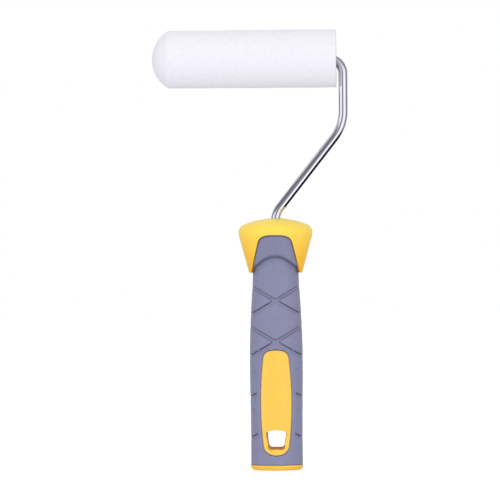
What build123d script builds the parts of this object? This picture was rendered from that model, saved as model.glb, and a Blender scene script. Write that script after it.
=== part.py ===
from build123d import *
import math
import os

# A mini paint roller: a domed foam sleeve that spins on a wire frame, and a two-part moulded handle.
# The origin is the middle of the butt face. +Z runs up the handle, the sleeve's axle runs along X,
# and the front of the handle faces -Y. Lengths are in millimetres.

os.makedirs("parts", exist_ok=True)

# --- Driving dimensions ---

# Foam sleeve
axle_z = 249.0
sleeve_d = 35.0
sleeve_open_x = 37.5
sleeve_apex_x = -73.9
dome_radius = 20.6
dome_rim_fillet = 3.0
open_rim_fillet = 1.8
core_od = 17.0
core_id = 15.5
dome_foam_thickness = 9.0
plug_head_depth = 4.0
plug_spigot_length = 8.0
plug_wall = 1.6

# Wire frame
rod_d = 5.5
rod_end_x = -50.0
leg_x = 41.6
leg_corner_z = 208.1
neck_corner_z = 155.2
tang_end_z = 82.0
sleeve_bend_r = 9.0
leg_bend_r = 26.0
neck_bend_r = 14.0
rod_end_chamfer = 0.5
ear_length = 3.0
ear_span = 8.4
ear_thickness = 1.8
tang_ear_z = (96.0, 112.0)
tang_ear_length = 7.0
tang_ear_span = 9.6
tang_ear_thickness = 2.6

# Spindle, bushes and retainers on the wire
running_clearance = 0.08
spindle_right_x = 22.6
spindle_length = 67.0
hub_od = 9.6
hub_bore = 6.6
fin_count = 6
fin_thickness = 1.5
hoop_width = 2.2
hoop_wall = 1.2
hoop_lead_in = 0.9
bush_seat_d = 8.0
bush_seat_depth = 6.0
bush_flange_d = 10.4
bush_flange = 1.2
end_float = 0.1
washer_d = 13.0
washer_thickness = 0.8
nut_d = 11.0
nut_sheet = 0.5
nut_cone_rise = 1.2
nut_cone_d = 8.0
nut_slot_count = 6
nut_slot_width = 0.7

# Handle
cap_height = 3.1
grip_top_z = 146.0
grip_wall = 2.4
guard_width = 44.9
guard_depth = 38.0
guard_apex_z = 152.5
guard_tip_z = 119.8
guard_tip_width = 32.1
guard_side_lean = 15.3
guard_top_radius = 50.0
guard_corner_fillet = 5.5
guard_edge_fillet = 0.6
tongue_inset = 0.35
arch_top_z = 142.0
arch_tip_half_width = 14.8
arch_side = ((6.3, 141.4), (10.2, 137.8), (12.3, 129.7))  # points down one side, from the top
band_width = 1.7
band_depth = 0.45
band_slope = 30.0
band_pitch = 24.85
first_band_z = 27.9
band_rows = 4
lip_half_depth = 18.3
lip_z = 138.0
lip_radius = 12.0
panel_low_z = 9.1
panel_high_z = 72.6
panel_side = ((5.0, 10.0), (8.2, 17.7), (9.26, 42), (7.7, 67.6))  # points up one side
panel_shoulder = ((7.7, 67.6), (6.6, 70.8), (3.6, 72.3))  # and round its top corner
hole_low_z = 12.6
hole_high_z = 24.4
hole_top_width = 12.4
hole_bottom_width = 9.4
hole_arch_rise = 1.4
hole_corner_fillet = 2.0
hole_draft = 3.6
pocket_depth = 5.4
pocket_inset = 5.0
spigot_gap = 0.4
cap_proud = 0.15
cap_edge_fillet = 2.6

# The grip's oval section at each height: (z, half of its width, half of its depth)
grip_sections = (
    (cap_height, 15.75, 13.9),
    (13, 15.7, 13.85),
    (26, 15.7, 13.9),
    (40, 15.75, 14.0),
    (56, 16.05, 14.4),
    (70, 16.0, 14.4),
    (84, 15.75, 14.1),
    (96, 15.15, 13.6),
    (107, 14.45, 13.1),
    (118, 13.8, 12.8),
    (131, 13.6, 12.7),
    (grip_top_z, 13.6, 12.7),
)

# --- Worked-out places ---

sleeve_r = sleeve_d / 2
rod_r = rod_d / 2
core_left_x = sleeve_apex_x + dome_foam_thickness + plug_head_depth
plug_end_x = core_left_x + plug_spigot_length
spindle_left_x = spindle_right_x - spindle_length
inner_washer_x = spindle_right_x + bush_flange + end_float
outer_washer_x = spindle_left_x - bush_flange - end_float - washer_thickness
ear_left_x = inner_washer_x + washer_thickness
nut_x = outer_washer_x - end_float
fin_r = core_id / 2 - running_clearance
bush_bore_r = rod_r + running_clearance
axle = Axis((0, 0, axle_z), (1, 0, 0))
front = Plane.XZ  # local x is X, local y is Z, and it faces the front, -Y
hole_taper = grip_sections[0][2] * math.tan(math.radians(hole_draft))
through = 30.0  # half the length of a cut that goes right through the handle


def save(part, name):
    part.label = name
    export_step(part, f"parts/{name}.step")


def across_axle(x):
    """The plane across the axle at x, facing along +X."""
    return Plane(origin=(x, 0, axle_z), x_dir=(0, 1, 0), z_dir=(1, 0, 0))


def ring(x, length, outer_r, inner_r):
    """A plain ring on the axle, from x towards +X."""
    with BuildPart() as body:
        with BuildSketch(across_axle(x)):
            Circle(outer_r)
            Circle(inner_r, mode=Mode.SUBTRACT)
        extrude(amount=length)
    return body.part


def turned(points):
    """An outline of (x, radius) points turned about the axle."""
    with BuildPart() as body:
        with BuildSketch(front):
            with BuildLine():
                Polyline([(x, axle_z + r) for x, r in points], close=True)
            make_face()
        revolve(axis=axle)
    return body.part


def oval_body(inset):
    """The grip's outer form, drawn in by inset all round."""
    with BuildPart() as body:
        for z, half_width, half_depth in grip_sections:
            with BuildSketch(Plane.XY.offset(z)):
                Ellipse(half_width - inset, half_depth - inset)
        loft()
    return body.part


# --- Sleeve: core tube, end plug and foam ---

save(ring(core_left_x, sleeve_open_x - core_left_x, core_od / 2, core_id / 2), "core_tube")

with BuildPart() as core_end_plug:
    head_r = (plug_head_depth**2 + (core_od / 2) ** 2) / (2 * plug_head_depth)
    spigot_r = core_id / 2
    with BuildSketch(front):
        with BuildLine():
            apex = (core_left_x - plug_head_depth, axle_z)
            RadiusArc(apex, (core_left_x, axle_z + core_od / 2), head_r)
            Polyline(
                (core_left_x, axle_z + core_od / 2),
                (core_left_x, axle_z + spigot_r),
                (plug_end_x, axle_z + spigot_r),
                (plug_end_x, axle_z + spigot_r - plug_wall),
                (core_left_x, axle_z + spigot_r - plug_wall),
                (core_left_x, axle_z),
                apex,
            )
        make_face()
    revolve(axis=axle)
save(core_end_plug.part, "core_end_plug")

with BuildPart() as foam_cover:
    with BuildSketch(front):
        with BuildLine():
            dome_half_angle = math.asin(sleeve_r / dome_radius)
            dome_centre_x = sleeve_apex_x + dome_radius
            apex = (sleeve_apex_x, axle_z)
            midway = (
                dome_centre_x - dome_radius * math.cos(dome_half_angle / 2),
                axle_z + dome_radius * math.sin(dome_half_angle / 2),
            )
            rim = (dome_centre_x - dome_radius * math.cos(dome_half_angle), axle_z + sleeve_r)
            ThreePointArc(apex, midway, rim)
            Polyline(rim, (sleeve_open_x, axle_z + sleeve_r), (sleeve_open_x, axle_z), apex)
        make_face()
        outer_corners = vertices().group_by(Axis.Y)[-1].sort_by(Axis.X)
        fillet(outer_corners[0], dome_rim_fillet)
        fillet(outer_corners[1], open_rim_fillet)
    revolve(axis=axle)
    with BuildSketch(across_axle(core_left_x)):
        Circle(core_od / 2)
    extrude(amount=sleeve_open_x - core_left_x, mode=Mode.SUBTRACT)
    add(core_end_plug.part, mode=Mode.SUBTRACT)
save(foam_cover.part, "foam_cover")


# --- Spindle: a finned cage that runs on the wire on two flanged bushes ---

with BuildPart() as spindle:
    with BuildSketch(across_axle(spindle_left_x)):
        Circle(hub_od / 2)
        with PolarLocations(0, fin_count):
            Rectangle(core_id, fin_thickness, align=(Align.MIN, Align.CENTER))
        Circle(fin_r, mode=Mode.INTERSECT)
    extrude(amount=spindle_length)
    for hoop_x in (spindle_left_x, spindle_left_x + spindle_length / 2, spindle_right_x - hoop_width):
        with BuildSketch(across_axle(hoop_x)):
            Circle(fin_r)
            Circle(fin_r - hoop_wall, mode=Mode.SUBTRACT)
        extrude(amount=hoop_width)
    lead_in_edges = edges().group_by(Axis.X)[0].filter_by(lambda edge: edge.geom_type == GeomType.CIRCLE)
    chamfer(lead_in_edges.filter_by(lambda edge: abs(edge.radius - fin_r) < 0.01), hoop_lead_in)
    with BuildSketch(across_axle(spindle_left_x)):
        Circle(hub_bore / 2)
    extrude(amount=spindle_length, mode=Mode.SUBTRACT)
    for seat_x in (spindle_left_x, spindle_right_x - bush_seat_depth):
        with BuildSketch(across_axle(seat_x)):
            Circle(bush_seat_d / 2)
        extrude(amount=bush_seat_depth, mode=Mode.SUBTRACT)
save(spindle.part, "spindle")

for name, face_x, outward in (("outer_bush", spindle_left_x, -1), ("inner_bush", spindle_right_x, 1)):
    bush = turned([
        (face_x - outward * bush_seat_depth, bush_bore_r),
        (face_x + outward * bush_flange, bush_bore_r),
        (face_x + outward * bush_flange, bush_flange_d / 2),
        (face_x, bush_flange_d / 2),
        (face_x, bush_seat_d / 2),
        (face_x - outward * bush_seat_depth, bush_seat_d / 2),
    ])
    save(bush, name)

# --- Wire frame and its retainers ---

for name, x in (("inner_washer", inner_washer_x), ("outer_washer", outer_washer_x)):
    save(ring(x, washer_thickness, washer_d / 2, rod_r + running_clearance), name)

with BuildPart() as push_nut:
    rim_left = nut_x - nut_sheet
    add(turned([
        (nut_x, nut_d / 2),
        (nut_x, nut_cone_d / 2),
        (nut_x - nut_cone_rise, rod_r),
        (rim_left - nut_cone_rise, rod_r),
        (rim_left, nut_cone_d / 2),
        (rim_left, nut_d / 2),
    ]))
    with BuildSketch(across_axle(nut_x)):
        with PolarLocations(0, nut_slot_count):
            Rectangle(nut_cone_d / 2, nut_slot_width, align=(Align.MIN, Align.CENTER))
    extrude(amount=through, both=True, mode=Mode.SUBTRACT)
save(push_nut.part, "push_nut")

with BuildPart() as frame_rod:
    with BuildLine(front) as wire:
        FilletPolyline(
            (rod_end_x, axle_z),
            (leg_x, axle_z),
            (leg_x, leg_corner_z),
            (0, neck_corner_z),
            (0, tang_end_z),
            radius=(sleeve_bend_r, leg_bend_r, neck_bend_r),
        )
    with BuildSketch(across_axle(rod_end_x)):
        Circle(rod_r)
    sweep(path=wire.line)
    chamfer(edges().group_by(Axis.X)[0], rod_end_chamfer)
    chamfer(edges().group_by(Axis.Z)[0], rod_end_chamfer)
    with BuildSketch(across_axle(ear_left_x)):
        RectangleRounded(ear_span, ear_thickness, ear_thickness / 3)
    extrude(amount=ear_length)
    for ear_z in tang_ear_z:
        with BuildSketch(Plane.XY.offset(ear_z)):
            RectangleRounded(tang_ear_span, tang_ear_thickness, tang_ear_thickness / 3)
        extrude(amount=tang_ear_length)
save(frame_rod.part, "frame_rod")

# --- Handle ---

grip_blank = oval_body(0)

with BuildPart() as guard:
    with BuildSketch(front):
        with BuildLine():
            lean = math.tan(math.radians(guard_side_lean))
            crown_z = guard_apex_z - guard_top_radius
            tip = (guard_tip_width / 2, guard_tip_z)
            # Where the leaning side meets the crown's arc
            foot = tip[0] - (tip[1] - crown_z) * lean
            corner_rise = (
                -foot * lean + math.sqrt((1 + lean**2) * guard_top_radius**2 - foot**2)
            ) / (1 + lean**2)
            corner = (foot + corner_rise * lean, crown_z + corner_rise)
            RadiusArc((0, guard_apex_z), corner, guard_top_radius)
            Polyline(corner, tip, (0, guard_tip_z), (0, guard_apex_z))
        make_face()
        fillet(vertices().sort_by(Axis.X)[-1], guard_corner_fillet)
    revolve(axis=Axis.Z)
    scale(by=(1, guard_depth / guard_width, 1))
guard_blank = guard.part

with BuildPart() as arch:
    with BuildSketch(front):
        with BuildLine():
            right_side = [*arch_side, (arch_tip_half_width, guard_tip_z - 1)]
            left_side = [(-x, z) for x, z in reversed(right_side)]
            Spline(*left_side, (0, arch_top_z), *right_side)
            Line(right_side[-1], left_side[0])
        make_face()
    extrude(amount=through, both=True)

with BuildPart() as panel_pads:
    with BuildSketch(front):
        with BuildLine():
            for side in (-1, 1):
                Spline(*[(side * x, z) for x, z in panel_side])
                Spline(*[(side * x, z) for x, z in panel_shoulder])
            for (end_x, end_z), middle_z in ((panel_side[0], panel_low_z), (panel_shoulder[-1], panel_high_z)):
                ThreePointArc((-end_x, end_z), (0, middle_z), (end_x, end_z))
        make_face()
    extrude(amount=through, both=True)
    add(grip_blank, mode=Mode.INTERSECT)

with BuildPart() as core_blank:
    add(guard_blank)
    add(arch.part, mode=Mode.SUBTRACT)
    add(oval_body(grip_wall))
    add(panel_pads.part)

with BuildPart() as handle_core:
    add(core_blank.part)
    add(frame_rod.part, mode=Mode.SUBTRACT)
    with BuildSketch(front):
        with BuildLine():
            ThreePointArc(
                (-hole_top_width / 2 + hole_taper, hole_high_z - hole_arch_rise),
                (0, hole_high_z - hole_taper),
                (hole_top_width / 2 - hole_taper, hole_high_z - hole_arch_rise),
            )
            Polyline(
                (hole_top_width / 2 - hole_taper, hole_high_z - hole_arch_rise),
                (hole_bottom_width / 2 - hole_taper, hole_low_z + hole_taper),
                (-hole_bottom_width / 2 + hole_taper, hole_low_z + hole_taper),
                (-hole_top_width / 2 + hole_taper, hole_high_z - hole_arch_rise),
            )
        make_face()
        fillet(vertices().group_by(Axis.Y)[0], hole_corner_fillet)
        fillet(vertices().group_by(Axis.Y)[-1], hole_corner_fillet / 2)
    extrude(amount=through, both=True, taper=-hole_draft, mode=Mode.SUBTRACT)
    with BuildSketch(Plane.XY.offset(cap_height)):
        Ellipse(grip_sections[0][1] - pocket_inset, grip_sections[0][2] - pocket_inset)
    extrude(amount=pocket_depth, mode=Mode.SUBTRACT)
save(handle_core.part, "handle_core")

with BuildPart() as tongues:
    with BuildSketch(Plane.YZ):
        with BuildLine():
            for side in (-1, 1):
                lip = (side * lip_half_depth, lip_z)
                turn = (
                    side * (lip_half_depth - lip_radius * (1 - math.cos(math.pi / 4))),
                    lip_z - lip_radius * math.sin(math.pi / 4),
                )
                foot = (side * (abs(turn[0]) - (turn[1] - guard_tip_z)), guard_tip_z)
                RadiusArc(lip, turn, side * lip_radius)
                Polyline(turn, foot, (0, guard_tip_z))
                Polyline(lip, (side * lip_half_depth, guard_apex_z), (0, guard_apex_z))
        make_face()
    extrude(amount=through, both=True)
    add(arch.part, mode=Mode.INTERSECT)
    add(scale(guard_blank, by=(1, 1 - 2 * tongue_inset / guard_depth, 1)), mode=Mode.INTERSECT)

with BuildPart() as slanted_bands:
    for row in range(band_rows):
        for turned_by in (-band_slope, band_slope):
            with BuildSketch(front):
                with Locations((0, first_band_z + row * band_pitch)):
                    Rectangle(3 * through, band_width, rotation=turned_by)
            extrude(amount=through, both=True)

with BuildPart() as bands:
    add(grip_blank)
    add(oval_body(band_depth), mode=Mode.SUBTRACT)
    add(slanted_bands.part, mode=Mode.INTERSECT)

with BuildPart() as grip_overmould:
    add(grip_blank)
    add(bands.part, mode=Mode.SUBTRACT)
    add(tongues.part)
    add(core_blank.part, mode=Mode.SUBTRACT)
save(grip_overmould.part, "grip_overmould")

with BuildPart() as end_cap:
    with BuildSketch(Plane.XY):
        Ellipse(grip_sections[0][1] + cap_proud, grip_sections[0][2] + cap_proud)
    extrude(amount=cap_height)
    fillet(edges().group_by(Axis.Z)[0], cap_edge_fillet)
    with BuildSketch(Plane.XY.offset(cap_height)):
        Ellipse(grip_sections[0][1] - pocket_inset, grip_sections[0][2] - pocket_inset)
    extrude(amount=pocket_depth - spigot_gap)
save(end_cap.part, "end_cap")
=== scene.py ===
import math

import bpy
import numpy as np
from mathutils import Matrix, Vector, noise
from mathutils.bvhtree import BVHTree


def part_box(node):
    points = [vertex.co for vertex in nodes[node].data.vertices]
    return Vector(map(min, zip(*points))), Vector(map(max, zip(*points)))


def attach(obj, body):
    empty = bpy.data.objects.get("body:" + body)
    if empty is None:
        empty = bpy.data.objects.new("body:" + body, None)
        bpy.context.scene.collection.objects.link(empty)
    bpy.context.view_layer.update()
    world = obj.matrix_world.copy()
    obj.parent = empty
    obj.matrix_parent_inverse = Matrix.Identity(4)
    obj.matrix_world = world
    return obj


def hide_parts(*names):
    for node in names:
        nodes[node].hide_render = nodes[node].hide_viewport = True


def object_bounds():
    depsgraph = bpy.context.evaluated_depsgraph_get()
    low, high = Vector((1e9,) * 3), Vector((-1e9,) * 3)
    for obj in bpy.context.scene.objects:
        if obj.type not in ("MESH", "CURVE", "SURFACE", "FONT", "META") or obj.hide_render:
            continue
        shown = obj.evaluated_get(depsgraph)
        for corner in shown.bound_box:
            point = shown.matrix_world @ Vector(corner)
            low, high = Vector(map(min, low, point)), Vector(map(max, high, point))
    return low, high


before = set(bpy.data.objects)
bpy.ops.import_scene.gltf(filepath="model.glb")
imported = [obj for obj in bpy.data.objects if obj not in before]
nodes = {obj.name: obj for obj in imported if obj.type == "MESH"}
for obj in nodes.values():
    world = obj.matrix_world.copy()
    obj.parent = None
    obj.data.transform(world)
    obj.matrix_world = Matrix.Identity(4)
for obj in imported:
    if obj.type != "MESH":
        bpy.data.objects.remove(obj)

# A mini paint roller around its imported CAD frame. Shapes are worked out in millimetres and written in metres.
# The sleeve's foam, the soft grip and the yellow core are meshes made here. The wire, cap, spindle,
# bushes, washers, nut, core tube and end plug are the CAD's own, with better materials.

MM = 0.001
cad_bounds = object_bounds()
scene = bpy.context.scene


def box_mm(node):
    low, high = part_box(node)
    return np.array(low) / MM, np.array(high) / MM


# --- Places taken from the frame ---

foam_low, foam_high = box_mm("foam_cover")
tube_low, tube_high = box_mm("core_tube")
core_low, core_high = box_mm("handle_core")
grip_low_z = box_mm("grip_overmould")[0][2]
axle_z = (foam_low[2] + foam_high[2]) / 2
sleeve_r = (foam_high[2] - foam_low[2]) / 2
open_x, apex_x = foam_high[0], foam_low[0]
tube_r = (tube_high[2] - tube_low[2]) / 2


def surface_of(node):
    """A search tree over one CAD node, in millimetres."""
    mesh = nodes[node].data
    mesh.calc_loop_triangles()
    points = [v.co / MM for v in mesh.vertices]
    return BVHTree.FromPolygons(points, [t.vertices for t in mesh.loop_triangles])


cad_grip, cad_core = surface_of("grip_overmould"), surface_of("handle_core")


def reach(z, dx, dy):
    """How far the handle's surface is from its axis at height z, looking in along (dx, dy) from outside."""
    outside = 100
    start = Vector((-outside * dx, -outside * dy, z))
    found = [t.ray_cast(start, Vector((dx, dy, 0))) for t in (cad_grip, cad_core)]
    return outside - min(f[3] for f in found if f[0] is not None)


# Heights that miss the bands and the hang hole, for smooth curves through what the CAD has there
oval_heights = np.array([4.5, 10.5, 25.5, 34, 48, 58, 73.5, 83.5, 98, 107, 118])
OVAL_DEGREE = 6
OVAL_LEVELLING = 6.0


def oval_curve(dx, dy):
    """The handle's reach along (dx, dy), by height."""
    return np.polynomial.Polynomial.fit(oval_heights, [reach(z, dx, dy) for z in oval_heights], OVAL_DEGREE)


width_curve, depth_curve = oval_curve(1, 0), oval_curve(0, 1)


def oval(z):
    """Half the grip's width and depth at height z. It levels off past the last of oval_heights."""
    inside = smooth_min(np.clip(z, oval_heights[0], None), oval_heights[-1], OVAL_LEVELLING)
    return width_curve(inside), depth_curve(inside)


# --- Mesh helpers ---


def smoothstep(low, high, value):
    t = np.clip((value - low) / (high - low), 0, 1)
    return t * t * (3 - 2 * t)


def smooth_min(a, b, blend):
    """The smaller of two lengths, with the corner between them rounded."""
    h = np.clip(0.5 + 0.5 * (b - a) / blend, 0, 1)
    return b * (1 - h) + a * h - blend * h * (1 - h)


def smooth_max(a, b, blend):
    return -smooth_min(-a, -b, blend)


def sheet_of(rows, closes=False):
    """Points and quads of a grid of rows, each row a closed ring. closes joins the last row to the first."""
    count, around = rows.shape[:2]
    quads = []
    for i in range(count if closes else count - 1):
        a, b = i * around, (i + 1) % count * around
        quads += [(a + j, a + (j + 1) % around, b + (j + 1) % around, b + j) for j in range(around)]
    return rows.reshape(-1, 3), quads


def piece(name, parts, body, material):
    """One smooth object from several (points, faces) lists, in millimetres, riding on a CAD body."""
    points, faces, start = [], [], 0
    for part_points, part_faces in parts:
        points.append(part_points)
        faces += [tuple(start + i for i in face) for face in part_faces]
        start += len(part_points)
    mesh = bpy.data.meshes.new(name)
    mesh.from_pydata((np.concatenate(points) * MM).tolist(), [], faces)
    mesh.polygons.foreach_set("use_smooth", [True] * len(faces))
    mesh.materials.append(material)
    mesh.validate()
    mesh.update()
    made = bpy.data.objects.new(name, mesh)
    scene.collection.objects.link(made)
    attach(made, body)
    return made


def fan(start, around, middle, turned):
    """Triangles from the ring that begins at start to a middle point; turned faces them the other way."""
    pairs = [(start + j, start + (j + 1) % around) for j in range(around)]
    return [(*(pair[::-1] if turned else pair), middle) for pair in pairs]


def capped(points, quads, around):
    """Closes the first and last ring of a grid with a fan about its middle."""
    points, faces = list(points), list(quads)
    last = len(quads) // around * around
    for start, turned in ((0, True), (last, False)):
        points.append(np.mean(points[start : start + around], axis=0))
        faces += fan(start, around, len(points) - 1, turned)
    return np.array(points), faces


# --- Materials ---


WHITE = (1.0, 1.0, 1.0)
GLOW = {"Subsurface_Weight": 0.3, "Subsurface_Radius": (1.0, 0.3, 0.1), "Subsurface_Scale": 0.004}


class NodeTree:
    """Short ways to add the nodes of a material or the world, and to join them."""

    def __init__(self, owner):
        owner.use_nodes = True
        self.tree = owner.node_tree

    def add(self, kind):
        return self.tree.nodes.new(kind)

    def link(self, source, target):
        """Joins a node's output to an input, or sets the input to a plain value."""
        if isinstance(source, bpy.types.NodeSocket):
            self.tree.links.new(source, target)
        else:
            target.default_value = source

    def ramp(self, source, stops):
        """A colour ramp; each stop is (position, (r, g, b))."""
        node = self.add("ShaderNodeValToRGB")
        elements = node.color_ramp.elements
        for _ in stops[2:]:
            elements.new(0.5)
        for element, (position, colour) in zip(elements, stops):
            element.position = position
            element.color = (*colour, 1)
        self.link(source, node.inputs["Fac"])
        return node.outputs["Color"]

    def range(self, source, low, high, from_low=0.3, from_high=0.7):
        """Maps a value onto low to high; most of a noise lies between 0.3 and 0.7."""
        node = self.add("ShaderNodeMapRange")
        node.inputs["From Min"].default_value = from_low
        node.inputs["From Max"].default_value = from_high
        node.inputs["To Min"].default_value = low
        node.inputs["To Max"].default_value = high
        self.link(source, node.inputs["Value"])
        return node.outputs["Result"]

    def split(self, vector):
        """The X, Y and Z outputs of a vector."""
        node = self.add("ShaderNodeSeparateXYZ")
        self.link(vector, node.inputs["Vector"])
        return node.outputs["X"], node.outputs["Y"], node.outputs["Z"]

    def maths(self, operation, first, second):
        node = self.add("ShaderNodeMath")
        node.operation = operation
        self.link(first, node.inputs[0])
        self.link(second, node.inputs[1])
        return node.outputs["Value"]

    def mix(self, share, first, second, blend="MIX"):
        node = self.add("ShaderNodeMix")
        node.data_type = "RGBA"
        node.blend_type = blend
        for source, socket in ((share, "Factor"), (first, "A"), (second, "B")):
            self.link(source, node.inputs[socket])
        return node.outputs["Result"]


class Finish(NodeTree):
    """A Principled material with helpers that add procedural detail in object space."""

    def __init__(self, name, roughness, metallic=0.0, **sockets):
        self.material = bpy.data.materials.new(name)
        super().__init__(self.material)
        self.shader = self.tree.nodes["Principled BSDF"]
        self.shader.inputs["Roughness"].default_value = roughness
        self.shader.inputs["Metallic"].default_value = metallic
        for socket, value in sockets.items():
            self.shader.inputs[socket.replace("_", " ")].default_value = value
        coordinates = self.add("ShaderNodeTexCoord").outputs
        self.space, self.facing = coordinates["Object"], coordinates["Normal"]

    def stretched(self, x, y, z):
        """Object space scaled along each axis, for grain that runs one way."""
        mapping = self.add("ShaderNodeMapping")
        mapping.inputs["Scale"].default_value = (x, y, z)
        self.link(self.space, mapping.inputs["Vector"])
        return mapping.outputs["Vector"]

    def noise(self, size_mm, detail, space=None):
        """Noise whose lumps are about size_mm across."""
        node = self.add("ShaderNodeTexNoise")
        node.inputs["Scale"].default_value = 1 / (size_mm * MM)
        node.inputs["Detail"].default_value = detail
        node.inputs["Roughness"].default_value = 0.55
        self.link(space or self.space, node.inputs["Vector"])
        return node.outputs["Fac"]

    def cells(self, size_mm):
        """Cells about size_mm across, dark in the middle of each."""
        node = self.add("ShaderNodeTexVoronoi")
        node.inputs["Scale"].default_value = 1 / (size_mm * MM)
        self.link(self.space, node.inputs["Vector"])
        return node.outputs["Distance"]

    def openness(self, reach_mm):
        """1 in the open, and less where other surfaces within reach_mm shut this one in."""
        node = self.add("ShaderNodeAmbientOcclusion")
        node.samples = 32
        node.inputs["Distance"].default_value = reach_mm * MM
        return node.outputs["AO"]

    def product(self, first, *others):
        """Colours or shades multiplied together."""
        for other in others:
            first = self.mix(1, first, other, blend="MULTIPLY")
        return first

    def bump(self, source, depth_mm, strength, under=None):
        node = self.add("ShaderNodeBump")
        node.inputs["Strength"].default_value = strength
        node.inputs["Distance"].default_value = depth_mm * MM
        self.link(source, node.inputs["Height"])
        if under:
            self.link(under, node.inputs["Normal"])
        return node.outputs["Normal"]

    def moulded_surface(self):
        """A fine spark-eroded grain over a faint unevenness."""
        return self.bump(self.noise(0.22, 2), 0.012, 0.6, under=self.bump(self.noise(6, 1), 0.06, 0.35))

    def paint(self, colour, roughness=None, normal=None):
        for source, socket in ((colour, "Base Color"), (roughness, "Roughness"), (normal, "Normal")):
            if source:
                self.link(source, self.shader.inputs[socket])
        return self.material


def moulded_plastic(name, dark, light, roughness, **sockets):
    """Injection-moulded plastic: faint flow shading, a fine grain and uneven gloss."""
    finish = Finish(name, roughness, **sockets)
    return finish.paint(
        colour=finish.ramp(finish.noise(14, 2), [(0.35, dark), (0.65, light)]),
        roughness=finish.range(finish.noise(2.5, 4), roughness - 0.05, roughness + 0.07),
        normal=finish.moulded_surface(),
    )


def core_plastic(tones_and_painted_light):
    """The core's yellow from (height, colour) stops, bottom up: painted light on the crown, painted shade on
    the wings and in each crease, where it is also duller.
    """
    finish = Finish("core_yellow", 0.38, Specular_IOR_Level=0.6, **GLOW)
    top = tones_and_painted_light[-1][0]
    height = finish.range(finish.split(finish.space)[2], 0, 1, 0, top * MM)
    # Painted light and shade by height: deeper on the wings, brighter towards the crown
    tone_and_painted_shading = finish.ramp(height, [(z / top, colour) for z, colour in tones_and_painted_light])
    flow = finish.ramp(finish.noise(14, 2), [(0.35, (0.97, 0.965, 0.96)), (0.65, WHITE)])
    openness = finish.openness(8)
    # Painted shade: darker wherever other surfaces within 8 mm shut the core in, as in the hang hole's tunnel
    painted_crease_shade = finish.ramp(openness, [(0.45, (0.25, 0.13, 0.01)), (0.92, WHITE)])
    gloss = finish.range(finish.noise(2.5, 4), 0.33, 0.45)
    dull_creases = finish.range(openness, 1.0, 0.3, 0.5, 0.95)
    return finish.paint(
        colour=finish.product(tone_and_painted_shading, flow, painted_crease_shade),
        roughness=finish.maths("MAXIMUM", gloss, dull_creases),
        normal=finish.moulded_surface(),
    )


def soft_rubber():
    """Grey thermoplastic rubber: matte, finely pitted, faintly bloomed, with painted shade in each crease and
    on faces that look down.
    """
    finish = Finish("grip_grey_rubber", 0.55, Specular_IOR_Level=0.7, Sheen_Weight=0.1, Sheen_Roughness=0.35)
    mottle = finish.ramp(finish.noise(5, 4), [(0.3, (0.213, 0.215, 0.340)), (0.7, (0.230, 0.232, 0.359))])
    specks = finish.ramp(finish.noise(0.5, 2), [(0.35, (0.93, 0.93, 0.93)), (0.6, WHITE)])
    # Painted shade: darker wherever other surfaces within 20 mm shut the grip in
    painted_crease_shade = finish.ramp(finish.openness(20), [(0.3, (0.25, 0.25, 0.27)), (0.97, WHITE)])
    # Painted shade: darker on faces that look down
    painted_underside_shade = finish.range(finish.split(finish.facing)[2], 0.62, 1, -0.8, -0.1)
    return finish.paint(
        colour=finish.product(mottle, specks, painted_crease_shade, painted_underside_shade),
        roughness=finish.range(finish.noise(1.2, 3), 0.5, 0.62),
        normal=finish.bump(finish.noise(0.28, 3), 0.035, 0.8),
    )


def open_cell_foam():
    """White foam: fine open cells of two sizes, with painted shade in the pores."""
    finish = Finish("sleeve_white_foam", 0.95, Sheen_Weight=0.15, Sheen_Roughness=0.6)
    pores = finish.cells(0.55)
    fine = finish.cells(0.26)
    # Painted shade: darker in the middle of each pore
    tone_and_painted_shading = finish.ramp(pores, [(0.05, (0.715, 0.71, 0.745)), (0.45, (0.80, 0.795, 0.83))])
    cloud = finish.ramp(finish.noise(3, 4), [(0.3, (0.96, 0.96, 0.965)), (0.7, WHITE)])
    return finish.paint(
        colour=finish.product(tone_and_painted_shading, cloud),
        roughness=finish.range(fine, 0.88, 1.0, 0.1, 0.7),
        normal=finish.bump(fine, 0.05, 0.5, under=finish.bump(pores, 0.11, 0.6)),
    )


def chrome_plate():
    """Bright chrome over drawn wire: faint draw lines, tiny scratches and a few duller patches."""
    finish = Finish("wire_chrome", 0.06, metallic=1.0)
    haze = finish.noise(9, 3)
    scratches = finish.noise(0.5, 4, space=finish.stretched(1, 1, 0.04))
    return finish.paint(
        colour=finish.ramp(haze, [(0.3, (0.80, 0.81, 0.84)), (0.7, (0.88, 0.89, 0.91))]),
        roughness=finish.range(scratches, 0.035, 0.12),
        normal=finish.bump(finish.noise(3, 3), 0.02, 0.1),
    )


def plated_steel(name, dark, light, roughness):
    """Stamped and plated steel: fine brushing and uneven plating."""
    finish = Finish(name, roughness, metallic=1.0)
    brushing = finish.noise(0.3, 3, space=finish.stretched(0.2, 1, 1))
    return finish.paint(
        colour=finish.ramp(finish.noise(2, 3), [(0.3, dark), (0.7, light)]),
        roughness=finish.range(brushing, roughness - 0.08, roughness + 0.1),
        normal=finish.bump(brushing, 0.01, 0.4),
    )


# The panels, then the guard from its wing tips to its crown: painted shade deepens the wings and painted light
# brightens the crown
CORE_TONES_AND_PAINTED_LIGHT = [
    (core_high[2] - 42, (1.0, 0.57, 0.07)),
    (core_high[2] - 31, (0.98, 0.48, 0.008)),
    (core_high[2] - 23.5, (0.99, 0.55, 0.018)),
    (core_high[2] - 12, (1.0, 0.65, 0.065)),
    (core_high[2], (1.0, 0.74, 0.10)),
]

yellow = core_plastic(CORE_TONES_AND_PAINTED_LIGHT)
grey = soft_rubber()
foam = open_cell_foam()

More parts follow.
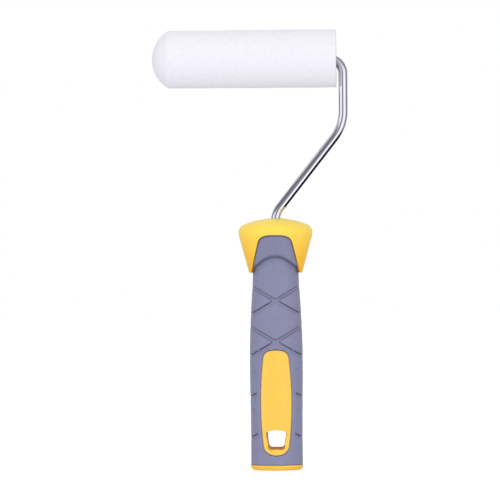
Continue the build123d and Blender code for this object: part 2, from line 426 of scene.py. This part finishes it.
carried_over = {
    "end_cap": moulded_plastic("cap_yellow", (0.92, 0.50, 0.045), (0.95, 0.53, 0.055), 0.42, **GLOW),
    "frame_rod": chrome_plate(),
    "inner_washer": plated_steel("washer_zinc", (0.50, 0.51, 0.53), (0.62, 0.62, 0.63), 0.32),
    "push_nut": plated_steel("nut_spring_steel", (0.20, 0.20, 0.21), (0.30, 0.30, 0.31), 0.38),
    "spindle": moulded_plastic("spindle_black", (0.030, 0.030, 0.033), (0.045, 0.045, 0.048), 0.45),
    "inner_bush": moulded_plastic("bush_nylon", (0.74, 0.72, 0.66), (0.80, 0.78, 0.72), 0.5),
    "core_tube": moulded_plastic("tube_white", (0.76, 0.76, 0.76), (0.82, 0.82, 0.82), 0.48),
}
alike = {"outer_washer": "inner_washer", "outer_bush": "inner_bush", "core_end_plug": "core_tube"}
for node, same_as in alike.items():
    carried_over[node] = carried_over[same_as]
for node, material in carried_over.items():
    for material_slot in nodes[node].material_slots:
        material_slot.material = material


# --- Foam sleeve ---

FOAM_AROUND = 288
FOAM_STEP = 0.37
FOAM_LUMPS = ((22.0, 0.16), (1.5, 0.045))  # size and height of the waves and of the coarse cells
BORE_EDGE_GAP = 0.05


def foam_outline():
    """The sleeve's outline from its apex to the bore, as (x, radius), read off the CAD solid."""
    solid = surface_of("foam_cover")

    def point_at(x, angle):
        """The outline's point seen from x on the axle, at an angle from the closed end's direction."""
        outward = Vector((-math.cos(angle), 0, math.sin(angle)))
        outside = Vector((x, 0, axle_z)) + outward * 60
        hit = solid.ray_cast(outside, -outward)[0]
        return hit.x, hit.z - axle_z

    dome_x, end_x = apex_x + sleeve_r, open_x - sleeve_r
    quarter = int(sleeve_r * math.pi / 2 / FOAM_STEP)
    bore_angle = math.pi - math.atan2(tube_r + BORE_EDGE_GAP, sleeve_r)
    outline = [point_at(dome_x, math.pi / 2 * i / quarter) for i in range(1, quarter)]
    outline += [point_at(x, math.pi / 2) for x in np.arange(dome_x, end_x, FOAM_STEP)]
    outline += [point_at(end_x, a) for a in np.linspace(math.pi / 2, bore_angle, quarter)]
    return np.array(outline)


def foam_fullness(x):
    """How far the foam stands out from the CAD's: more at the dome's tip and a little at the open end."""
    tip_fullness, tip_from, tip_to = 0.35, apex_x + 2, apex_x + 9
    open_fullness, open_from, open_to = 0.1, -50, 10
    trim = 0.03
    open_end = open_fullness * smoothstep(open_from, open_to, x)
    dome_tip = tip_fullness * (1 - smoothstep(tip_from, tip_to, x))
    return open_end + dome_tip - trim


def foam_bore():
    """The bore and the pocket round the end plug, as (x, radius), from the open end inwards."""
    bore_x = np.linspace(open_x, tube_low[0], 24)[1:]
    bore = np.column_stack([bore_x, np.full(len(bore_x), tube_r)])
    pocket_length = box_mm("core_end_plug")[0][0] - tube_low[0]
    pocket = np.array([(tube_low[0] + pocket_length * math.sin(a), tube_r * math.cos(a))
                       for a in np.linspace(0, math.pi / 2, 6)[1:-1]])
    return np.concatenate([bore, pocket])


def foam_sleeve():
    outline = foam_outline()
    profile = np.concatenate([outline, foam_bore()])
    turn = np.linspace(0, 2 * math.pi, FOAM_AROUND, endpoint=False)
    x = np.repeat(profile[:, :1], FOAM_AROUND, axis=1)
    rows = np.stack([x, profile[:, 1:] * np.cos(turn), axle_z + profile[:, 1:] * np.sin(turn)], axis=-1)
    tangent = np.gradient(profile, axis=0)
    tangent /= np.linalg.norm(tangent, axis=1)[:, None]
    lean, out = -tangent[:, 1:], tangent[:, :1]
    normal = np.stack([lean * np.ones_like(x), out * np.cos(turn), out * np.sin(turn)], axis=-1)
    lumps = np.zeros(x.shape)
    for size, height in FOAM_LUMPS:
        for i in range(len(outline)):
            for j in range(FOAM_AROUND):
                lumps[i, j] += height * noise.noise(Vector(rows[i, j] / size))
    lumps += foam_fullness(x)
    lumps[len(outline) :] = 0
    rows = rows + normal * lumps[..., None]
    points, quads = sheet_of(rows)
    sleeve = piece("foam_sleeve", [capped(points, quads, FOAM_AROUND)], "sleeve", foam)
    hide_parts("foam_cover")


foam_sleeve()


# --- Yellow core: guard, window panels with the hang-hole tunnel, and the shaft inside the grip ---

GUARD_AROUND = 384
GUARD_ROWS = 90
PANEL_AROUND = 360
EDGE_STEPS = 6

guard_half_width, guard_half_depth = core_high[0], core_high[1]
guard_top = core_high[2]
guard_centre_z = guard_top - 17
tip_z = guard_top - 33.2
tip_half_width = 16.05
crown_radius = 50.0
crown_rounding = 6.6
side_lean = math.tan(math.radians(15.3))
arch_top_z = guard_top - 10.5
arch_shoulder = 5.0
arch_crown_half_width, arch_spread = 9.5, 0.25
flattening = guard_half_depth / guard_half_width


def unit(vectors):
    return vectors / np.linalg.norm(vectors, axis=-1, keepdims=True)


def arch_half_width(z):
    """Half the width of the arch in the guard, in front view; 0 above its top."""
    below = arch_top_z - np.asarray(z, float)
    corner = np.clip(1 - below / arch_shoulder, 0, 1)
    half_width = (arch_crown_half_width + arch_spread * below) * (1 - corner**3) ** (1 / 3)
    return np.where(below > 0, half_width, 0)


def guard_point(turn, rise):
    """The guard's surface as seen from a centre inside it: turn about Z, and rise above level, in radians."""
    across, up = np.cos(rise), np.sin(rise)
    crown_centre = guard_top - crown_radius - guard_centre_z
    crown = up * crown_centre + np.sqrt(crown_radius**2 - (across * crown_centre) ** 2)
    waist = tip_half_width + (guard_centre_z - tip_z) * side_lean
    side = waist / np.maximum(across - up * side_lean, 1e-6)
    distance = smooth_min(crown, side, crown_rounding)
    ring = distance * across
    x, y = ring * np.cos(turn), flattening * ring * np.sin(turn)
    return np.stack([x, y, guard_centre_z + distance * up], axis=-1)


def guard_place(points):
    """The turn and rise of points on the guard."""
    x, y, z = points[:, 0], points[:, 1] / flattening, points[:, 2] - guard_centre_z
    return np.arctan2(y, x), np.arctan2(z, np.hypot(x, y))


def guard_edge(turn):
    """The lowest rise, at each turn, that is still yellow: above the tips and outside both arches."""
    lowest_rise, tries = -0.9, 2000
    rises = np.linspace(math.pi / 2, lowest_rise, tries)
    edge = []
    for angle in turn:
        points = guard_point(angle, rises)
        gone = (points[:, 2] < tip_z) | (np.abs(points[:, 0]) < arch_half_width(points[:, 2]))
        edge.append(rises[np.argmax(gone)])
    edge = np.array(edge)
    for _ in range(3):
        edge = (np.roll(edge, 1) + 2 * edge + np.roll(edge, -1)) / 4
    return edge


def guard_shell():
    """The guard as one closed shell: crown, arches with rounded edges, and a skirt in under the grip."""
    edge_radius, skirt, step = 0.7, (0.8, 1.8, 3.4), 1e-3
    turn = np.linspace(0, 2 * math.pi, GUARD_AROUND, endpoint=False)
    edge = guard_edge(turn)
    rim = guard_point(turn, edge)
    along = unit(np.roll(rim, -1, axis=0) - np.roll(rim, 1, axis=0))
    around = guard_point(turn + step, edge) - guard_point(turn - step, edge)
    down = guard_point(turn, edge - step) - guard_point(turn, edge + step)
    normal = unit(np.cross(down, around))
    normal *= np.sign(np.sum(normal * (rim - (0, 0, guard_centre_z)), axis=-1, keepdims=True))
    outward = unit(np.cross(along, normal))
    outward *= np.sign(np.sum(outward * down, axis=-1, keepdims=True))
    last_turn, last_rise = guard_place(rim - edge_radius * outward)
    shift = (last_turn - turn + math.pi) % (2 * math.pi) - math.pi
    rows = []
    for share in np.linspace(0, 1, GUARD_ROWS)[1:]:
        rise = math.pi / 2 + (last_rise - math.pi / 2) * share
        rows.append(guard_point(turn + shift * share**3, rise))
    start = rows[-1]
    for angle in np.linspace(0, math.pi / 2, EDGE_STEPS)[1:]:
        rows.append(start + edge_radius * (math.sin(angle) * outward - (1 - math.cos(angle)) * normal))
    under = rows[-1]
    rows += [under - normal * depth for depth in skirt]
    # From the skirt up, so that the faces look outwards
    points, quads = sheet_of(np.array(rows[::-1]))
    return capped(points, quads, GUARD_AROUND)


panel_low_z, panel_high_z = core_low[2] + 6.0, core_low[2] + 69.5
panel_mid_z, panel_mid_half_width, panel_barrelling = panel_low_z + 31.9, 9.26, 0.0022
panel_foot_rounding, panel_foot_power = 6.0, 2.2
panel_head_rounding, panel_head_power = 5.0, 2.6
hole_low_z, hole_high_z = core_low[2] + 9.5, core_low[2] + 21.3
hole_floor_half, hole_top_half, hole_arch_rise = 4.7, 6.2, 1.2
hole_floor_radius, hole_shoulder_radius = 2.2, 1.3
tunnel_rise, tunnel_inset = 1.3, 0.4  # how much smaller the hole is in the middle of the handle


def panel_half_width(z):
    """Half the width of a window panel: slightly barrelled sides and rounded ends."""
    z = np.asarray(z, float)
    side = panel_mid_half_width - panel_barrelling * (z - panel_mid_z) ** 2
    low = np.clip(1 - (z - panel_low_z) / panel_foot_rounding, 0, 1)
    high = np.clip(1 - (panel_high_z - z) / panel_head_rounding, 0, 1)
    foot = (1 - low**panel_foot_power) ** (1 / panel_foot_power)
    head = (1 - high**panel_head_power) ** (1 / panel_head_power)
    return side * foot * head


def evenly(points, count):
    """A closed outline resampled to evenly spaced points, from the same first point."""
    closed = np.concatenate([points, points[:1]])
    far = np.concatenate([[0], np.cumsum(np.linalg.norm(np.diff(closed, axis=0), axis=1))])
    at = np.linspace(0, far[-1], count, endpoint=False)
    return np.column_stack([np.interp(at, far, closed[:, k]) for k in range(2)])


def mirrored_outline(half, count):
    """A closed outline from its right half, which runs from the bottom to the top."""
    return evenly(np.concatenate([half, half[-2:0:-1] * (-1, 1)]), count)


def panel_outline():
    middle, half_height = (panel_low_z + panel_high_z) / 2, (panel_high_z - panel_low_z) / 2
    heights = middle - half_height * np.cos(np.linspace(0, math.pi, 400))
    return mirrored_outline(np.column_stack([panel_half_width(heights), heights]), PANEL_AROUND)


def rounded_corner(before, corner, after, radius):
    """The eight points of the arc that rounds a corner, by a rational curve between its tangent points."""
    before, corner, after = (np.array(point, float) for point in (before, corner, after))
    back, onward = unit(before - corner), unit(after - corner)
    half_angle = math.acos(np.clip(back @ onward, -1, 1)) / 2
    tangent_length = radius / math.tan(half_angle)
    start, end = corner + back * tangent_length, corner + onward * tangent_length
    t = np.linspace(0, 1, 8)[:, None]
    pull = 2 * math.sin(half_angle) * t * (1 - t)
    return ((1 - t) ** 2 * start + pull * corner + t**2 * end) / ((1 - t) ** 2 + pull + t**2)


def hole_outline(rise=0, inset=0):
    """The hang hole's rounded trapezoid with an arched top, its floor raised and its sides drawn in."""
    low, high = hole_low_z + rise, hole_high_z
    top_half = hole_top_half - inset
    foot, shoulder = (hole_floor_half - inset, low), (top_half, high - hole_arch_rise)
    on_arch = (top_half * 0.5, high - hole_arch_rise * 0.25)
    half = np.concatenate([
        [(0, low)],
        rounded_corner((0, low), foot, shoulder, hole_floor_radius),
        rounded_corner(foot, shoulder, on_arch, hole_shoulder_radius),
        [on_arch, (0, high)],
    ])
    return mirrored_outline(half, PANEL_AROUND)


def outline_normals(outline):
    along = np.roll(outline, -1, axis=0) - np.roll(outline, 1, axis=0)
    return unit(np.column_stack([along[:, 1], -along[:, 0]]))


def on_oval(flat, level):
    """Front-view points put on the handle's front, level millimetres proud of its oval."""
    half_width, half_depth = oval(flat[:, 1])
    x = flat[:, 0]
    y = -(half_depth + level) * np.sqrt(np.clip(1 - (x / (half_width + level)) ** 2, 0, 1))
    return np.column_stack([x, y, flat[:, 1]])


def panel_unit():
    """Front and back panels, joined by the hang hole's drafted tunnel, as one closed ring."""
    edge_radius, hole_edge, proud, skirt = 0.5, 0.45, 0.08, 2.2
    face_rows, tunnel_rows = 45, 12
    outer, hole = panel_outline(), hole_outline()
    outer_out, hole_in = outline_normals(outer), -outline_normals(hole)
    rows = [on_oval(outer, -skirt)]
    for angle in np.linspace(0, math.pi / 2, EDGE_STEPS):
        flat = outer - outer_out * edge_radius * (1 - math.cos(angle))
        rows.append(on_oval(flat, proud - edge_radius * (1 - math.sin(angle))))
    start, end = outer - outer_out * edge_radius, hole - hole_in * hole_edge
    for share in np.linspace(0, 1, face_rows + 1)[1:]:
        rows.append(on_oval(start + (end - start) * share, proud))
    for angle in np.linspace(0, math.pi / 2, EDGE_STEPS)[1:]:
        flat = end + hole_in * hole_edge * math.sin(angle)
        rows.append(on_oval(flat, proud - hole_edge * (1 - math.cos(angle))))
    mouth, narrowest = rows[-1], hole_outline(tunnel_rise, tunnel_inset)
    middle = np.column_stack([narrowest[:, 0], np.zeros(PANEL_AROUND), narrowest[:, 1]])
    for share in np.linspace(0, 1, tunnel_rows + 2)[1:-1]:
        rows.append(mouth + (middle - mouth) * share)
    back = [row * (1, -1, 1) for row in rows[::-1]]
    return sheet_of(np.array([*rows, middle, *back]), closes=True)


def inner_shaft():
    """The core inside the grip, from above the hang hole up into the guard."""
    grip_wall = 2.6
    turn = np.linspace(0, 2 * math.pi, 96, endpoint=False)
    rows = []
    for z in np.linspace(hole_high_z + 1.5, guard_centre_z + 6, 60):
        half_width, half_depth = oval(z)
        x, y = (half_width - grip_wall) * np.cos(turn), (half_depth - grip_wall) * np.sin(turn)
        rows.append(np.column_stack([x, y, np.full(len(turn), z)]))
    points, quads = sheet_of(np.array(rows))
    return capped(points, quads, len(turn))


def handle_core():
    parts = [guard_shell(), panel_unit(), inner_shaft()]
    made = piece("core_moulding", parts, "frame", yellow)
    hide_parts("handle_core")


handle_core()


# --- Soft grip ---

GRIP_AROUND = 320
GRIP_STEP = 0.36

band_pitch = 24.85
band_rows = [grip_low_z + 24.8 + band_pitch * i for i in range(4)]
band_slope = math.tan(math.radians(30))
band_half_width = 0.8
band_floor_depth, band_floor_edge = 0.2, 0.2
band_line_width = 0.29
upper_line_depth, lower_line_depths = 0.6, (0.3, 0.9)  # under and over each lower arm
arm_change_height = 0.8
hub_half_width, hub_half_height, hub_blend = 2.8, 0.9, 0.4
panel_clearance, clearance_fade, faint_share = 2.6, 0.7, 0.45
parting_line_share, parting_line_fade = 0.3, (0.1, 0.45)

lip_z, lip_half_depth, lip_radius = arch_top_z - 6.2, guard_half_depth - 0.3, 7.0
lip_steepest = math.radians(58)
lip_bow, lip_fall, lip_fall_blend = 0.0435, 6.6, 2.0
face_recess, edge_recess, edge_recess_fade, face_blend = 0.45, 0.65, (0.3, 1.3), 1.2
ring_gap = 0.3
tongue_from_z, tongue_full_z, tongue_blend = tip_z - 6, tip_z - 2, 0.9

grip_top_z = guard_centre_z + 9
panel_recess, panel_recess_ramp = 1.5, (-0.3, 0.9)
panel_groove, panel_groove_place, panel_groove_width = 0.5, -0.25, 0.35
butt_rounding, butt_rounding_height = 0.2, 0.3
window_margin, window_half_width, window_level = 0.3, 6.4, 18


def slope_allowance(half_width, z, step=0.01):
    """What a sideways distance to a sloping edge is divided by to give the distance square to the edge."""
    steep = np.abs(half_width(z + step) - half_width(z - step)) / (2 * step)
    return np.sqrt(1 + steep**2)


def panel_inside(x, z):
    """How far a front-view point is inside a panel's outline, roughly; negative outside."""
    margin = 0.02
    ends = np.minimum(z - panel_low_z, panel_high_z - z)
    inner = np.clip(z, panel_low_z + margin, panel_high_z - margin)
    across = panel_half_width(inner) - np.abs(x)
    return np.where(ends > 0, across / slope_allowance(panel_half_width, inner), np.minimum(ends, across))


def arch_inside(x, z):
    """How far a front-view point is inside the arch in the guard, roughly; negative outside."""
    across = (arch_half_width(z) - np.abs(x)) / slope_allowance(arch_half_width, z)
    return np.minimum(across, arch_top_z - z)


def band_relief(x, z, inside_panel):
    """The crossed bands' depth: a shallow floor inside a deeper groove, which is uneven from arm to arm."""
    depth = np.zeros_like(x)
    for centre in band_rows:
        rise = z - centre
        above = (rise - band_slope * np.abs(x)) / math.sqrt(1 + band_slope**2)
        below = (rise + band_slope * np.abs(x)) / math.sqrt(1 + band_slope**2)
        arms = np.minimum(np.abs(above), np.abs(below)) - band_half_width
        hub = (np.hypot(x / hub_half_width, rise / hub_half_height) - 1) * hub_half_height
        outside = smooth_min(arms, hub, hub_blend)
        floor = band_floor_depth * (1 - smoothstep(-band_floor_edge, band_floor_edge, outside))
        upper_share = smoothstep(-arm_change_height, arm_change_height, rise)
        lower_line_depth = np.where(below > 0, lower_line_depths[1], lower_line_depths[0])
        line_depth = lower_line_depth * (1 - upper_share) + upper_line_depth * upper_share
        line = line_depth * np.exp(-((outside / band_line_width) ** 2))
        beside_panel = centre < panel_high_z
        faint, clear = (faint_share, panel_clearance) if beside_panel else (1.0, 1.0)
        fade = 1 - smoothstep(-clear - clearance_fade, -clear, inside_panel)
        depth = np.maximum(depth, (floor + line) * (1 - upper_share + faint * upper_share) * fade)
    return depth


def tongue_depth(x, z):
    """How far forward the thumb tongue stands: a lip under the arch that turns back to the neck's oval."""
    drop = np.clip(lip_z - smooth_min(lip_bow * x**2, lip_fall, lip_fall_blend) - z, 0, None)
    turned = lip_radius * math.sin(lip_steepest)
    round_part = np.sqrt(np.clip(lip_radius**2 - np.minimum(drop, turned) ** 2, 0, None))
    centre = lip_half_depth - lip_radius + round_part
    centre = centre - math.tan(lip_steepest) * np.clip(drop - turned, 0, None)
    neck_width, neck_depth = oval(z)
    share = np.clip((centre - neck_depth) / (lip_half_depth - neck_depth), 0, 1)
    ring = guard_half_width + (np.minimum(z, arch_top_z) - arch_top_z) * side_lean - ring_gap
    half_width = neck_width + (ring - neck_width) * share
    lip = np.sqrt(np.clip(1 - (x / half_width) ** 2, 0, 1)) * centre
    recess = face_recess + edge_recess * (1 - smoothstep(*edge_recess_fade, arch_inside(x, z)))
    face = np.sqrt(np.clip(1 - (x / ring) ** 2, 0, 1)) * flattening * ring - recess
    return smooth_min(lip, face, face_blend)


def grip_rows(turn, heights):
    """The grip's surface as rings up the handle: oval, bands, panel recesses and the two thumb tongues."""
    t, z = np.meshgrid(turn, heights)
    half_width, half_depth = oval(z)
    x, y = half_width * np.cos(t), half_depth * np.sin(t)
    normal = unit(np.stack([np.cos(t) / half_width, np.sin(t) / half_depth], axis=-1))
    side = np.where(np.sin(t) < 0, -1.0, 1.0)
    inside = panel_inside(x, z)
    off_parting_line = smoothstep(*parting_line_fade, np.abs(np.sin(t)))
    cut = band_relief(x, z, inside) * (parting_line_share + (1 - parting_line_share) * off_parting_line)
    cut += panel_recess * smoothstep(*panel_recess_ramp, inside)
    cut += panel_groove * np.exp(-(((inside - panel_groove_place) / panel_groove_width) ** 2))
    cut += butt_rounding * (1 - smoothstep(0, butt_rounding_height, z - grip_low_z))
    x, y = x - normal[..., 0] * cut, y - normal[..., 1] * cut
    above = smoothstep(tongue_from_z, tongue_full_z, z)
    tongue = smooth_max(np.abs(y), tongue_depth(x, z) * above, tongue_blend)
    return np.stack([x, np.where(above > 0, side * tongue, y), z], axis=-1)


def with_window(quads, turn, heights):
    """The grip's quads with a rectangle cut out behind each panel, walled through, for the hang hole."""
    first = int(np.searchsorted(heights, hole_low_z - window_margin))
    last = int(np.searchsorted(heights, hole_high_z + window_margin))
    widest = window_half_width / float(oval(window_level)[0])
    columns = [j for j in range(GRIP_AROUND) if math.sin(turn[j]) < 0 and abs(math.cos(turn[j])) < widest]
    left, right = columns[0], columns[-1]
    gone = {(i, j) for i in range(first, last) for j in range(left, right)}
    gone |= {(i, (GRIP_AROUND - 1 - j) % GRIP_AROUND) for i, j in gone}
    kept = [quad for k, quad in enumerate(quads) if divmod(k, GRIP_AROUND) not in gone]
    loop = [(first, j) for j in range(left, right)] + [(i, right) for i in range(first, last)]
    loop += [(last, j) for j in range(right, left, -1)] + [(i, left) for i in range(last, first, -1)]
    corners = [(i * GRIP_AROUND + j, i * GRIP_AROUND + (GRIP_AROUND - j) % GRIP_AROUND) for i, j in loop]
    walls = [(next_front, front, back, next_back)
             for (front, back), (next_front, next_back) in zip(corners, corners[1:] + corners[:1])]
    return kept + walls


def soft_grip():
    turn = np.linspace(0, 2 * math.pi, GRIP_AROUND, endpoint=False)
    height = grip_top_z - grip_low_z
    heights = grip_low_z + height * np.linspace(0, 1, int(height / GRIP_STEP))
    points, quads = sheet_of(grip_rows(turn, heights))
    points, faces = list(points), with_window(quads, turn, heights)
    for row, turned in ((0, True), (len(heights) - 1, False)):
        points.append(np.array([0, 0, heights[row]]))
        faces += fan(row * GRIP_AROUND, GRIP_AROUND, len(points) - 1, turned)
    made = piece("soft_grip", [(np.array(points), faces)], "frame", grey)
    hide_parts("grip_overmould")


soft_grip()


# --- Camera ---

VIEW_WIDTH_M = 0.3032
DISTANCE_M = 2.5
SENSOR_MM = 36.0
AIM_X_M = -0.0155

aim = Vector((AIM_X_M, 0, (cad_bounds[0][2] + cad_bounds[1][2]) / 2))
azimuth, roll = math.radians(1.75), math.radians(-0.42)
toward_camera = Vector((math.sin(azimuth), -math.cos(azimuth), 0))
camera = bpy.data.objects.new("camera", bpy.data.cameras.new("camera"))
scene.collection.objects.link(camera)
camera.data.sensor_width = SENSOR_MM
camera.data.lens = SENSOR_MM * DISTANCE_M / VIEW_WIDTH_M
camera.data.clip_end = 50
camera.location = aim + toward_camera * DISTANCE_M
looking = (-toward_camera).to_track_quat("-Z", "Y").to_matrix().to_4x4()
camera.matrix_world = Matrix.Translation(camera.location) @ looking @ Matrix.Rotation(roll, 4, "Z")
scene.camera = camera


# --- Floor, lights and surroundings ---


def pale_floor():
    """A plain floor for the view alone: the roller is lit from below by the room, not by this."""
    finish = Finish("floor_white", 0.6, Emission_Color=(*WHITE, 1), Emission_Strength=0.35)
    cloud = finish.ramp(finish.noise(60, 3), [(0.3, (0.86, 0.86, 0.865)), (0.7, (0.89, 0.89, 0.893))])
    finish.paint(colour=cloud)
    half_size, level = 6.0, -0.0001
    corners = [(x * half_size, y * half_size, level) for x, y in ((-1, -1), (1, -1), (1, 1), (-1, 1))]
    mesh = bpy.data.meshes.new("floor")
    mesh.from_pydata(corners, [], [(0, 1, 2, 3)])
    mesh.materials.append(finish.material)
    floor = bpy.data.objects.new("floor", mesh)
    floor.visible_diffuse = floor.visible_glossy = floor.visible_transmission = floor.visible_shadow = False
    scene.collection.objects.link(floor)


def soft_light(name, azimuth_degrees, rise_degrees, size, watts):
    """A round soft box aimed at the roller's middle."""
    distance_m = 2
    turn, rise = math.radians(azimuth_degrees), math.radians(rise_degrees)
    away = Vector((math.sin(turn) * math.cos(rise), -math.cos(turn) * math.cos(rise), math.sin(rise)))
    light = bpy.data.lights.new(name, "AREA")
    light.shape = "DISK"
    light.size = size
    light.energy = watts
    made = bpy.data.objects.new(name, light)
    made.location = Vector((0, 0, aim.z)) + away * distance_m
    made.rotation_euler = away.to_track_quat("Z", "Y").to_euler()
    made.visible_camera = made.visible_glossy = False
    scene.collection.objects.link(made)


# Brightness round the studio as polished metal sees it, by degrees to the right of straight in front:
# level with the roller, above it and below it
LEVEL = [
    (-180, 0.85), (-150, 0.75), (-125, 0.45), (-98, 0.24), (-82, 0.26), (-72, 1.15), (-45, 1.15),
    (-33, 0.85), (-20, 0.3), (-13, 0.2), (-3, 0.2), (6, 0.5), (13, 1.1), (50, 1.15), (62, 0.8),
    (74, 0.5), (90, 0.26), (118, 0.25), (140, 0.6), (165, 0.85), (180, 0.85),
]
ABOVE = [
    (-180, 0.75), (-128, 0.58), (-93, 0.25), (-60, 0.09), (-36, 0.2), (-18, 0.1), (0, 0.22),
    (30, 0.6), (60, 0.4), (100, 0.25), (140, 0.5), (180, 0.75),
]
BELOW = [
    (-180, 0.5), (-90, 0.25), (0, 0.35), (12, 0.7), (20, 1.2), (43, 1.2), (53, 0.06), (64, 0.0),
    (140, 0.0), (160, 0.15), (180, 0.5),
]


class Room(NodeTree):
    """The world: white to the camera, soft light on matt surfaces, the studio's cards in polished ones."""

    def __init__(self):
        self.world = bpy.data.worlds.new("studio")
        super().__init__(self.world)
        self.tree.nodes.clear()
        x, y, self.height = self.split(self.add("ShaderNodeTexCoord").outputs["Generated"])
        bearing = self.maths("ARCTAN2", x, self.maths("MULTIPLY", y, -1))
        self.turn = self.range(bearing, 0, 1, -math.pi, math.pi)

    def ring(self, stops):
        """Brightness round the room from (degrees, value) stops, a little blue as the studio's cards are."""
        return self.ramp(self.turn, [(degrees / 360 + 0.5, (0.97 * value, 0.97 * value, 1.05 * value + 0.002))
                                     for degrees, value in stops])

    def blended(self, low_degrees, high_degrees, first, second):
        """first at one angle above level, second at the other, and a blend between them."""
        low, high = (math.sin(math.radians(angle)) for angle in (low_degrees, high_degrees))
        return self.mix(self.range(self.height, 0, 1, low, high), first, second)

    def switch(self, share, first, second):
        node = self.add("ShaderNodeMixShader")
        self.link(share, node.inputs["Fac"])
        self.link(first, node.inputs[1])
        self.link(second, node.inputs[2])
        return node.outputs[0]

    def shine(self, colour):
        node = self.add("ShaderNodeBackground")
        self.link(colour, node.inputs["Color"])
        return node.outputs[0]

    def build(self):
        cards = self.blended(12, 24, self.ring(LEVEL), self.ring(ABOVE))
        cards = self.blended(-18, -30, cards, self.ring(BELOW))
        soft = self.blended(-30, 30, (0.83, 0.83, 0.88, 1), (0.90, 0.90, 0.92, 1))
        path = self.add("ShaderNodeLightPath").outputs
        seen = self.switch(path["Is Glossy Ray"], self.shine(soft), self.shine(cards))
        seen = self.switch(path["Is Camera Ray"], seen, self.shine((*WHITE, 1)))
        self.link(seen, self.add("ShaderNodeOutputWorld").inputs["Surface"])
        scene.world = self.world


pale_floor()
Room().build()
soft_light("key", azimuth_degrees=-1, rise_degrees=9, size=1.0, watts=13.6)
scene.view_settings.view_transform = "Standard"
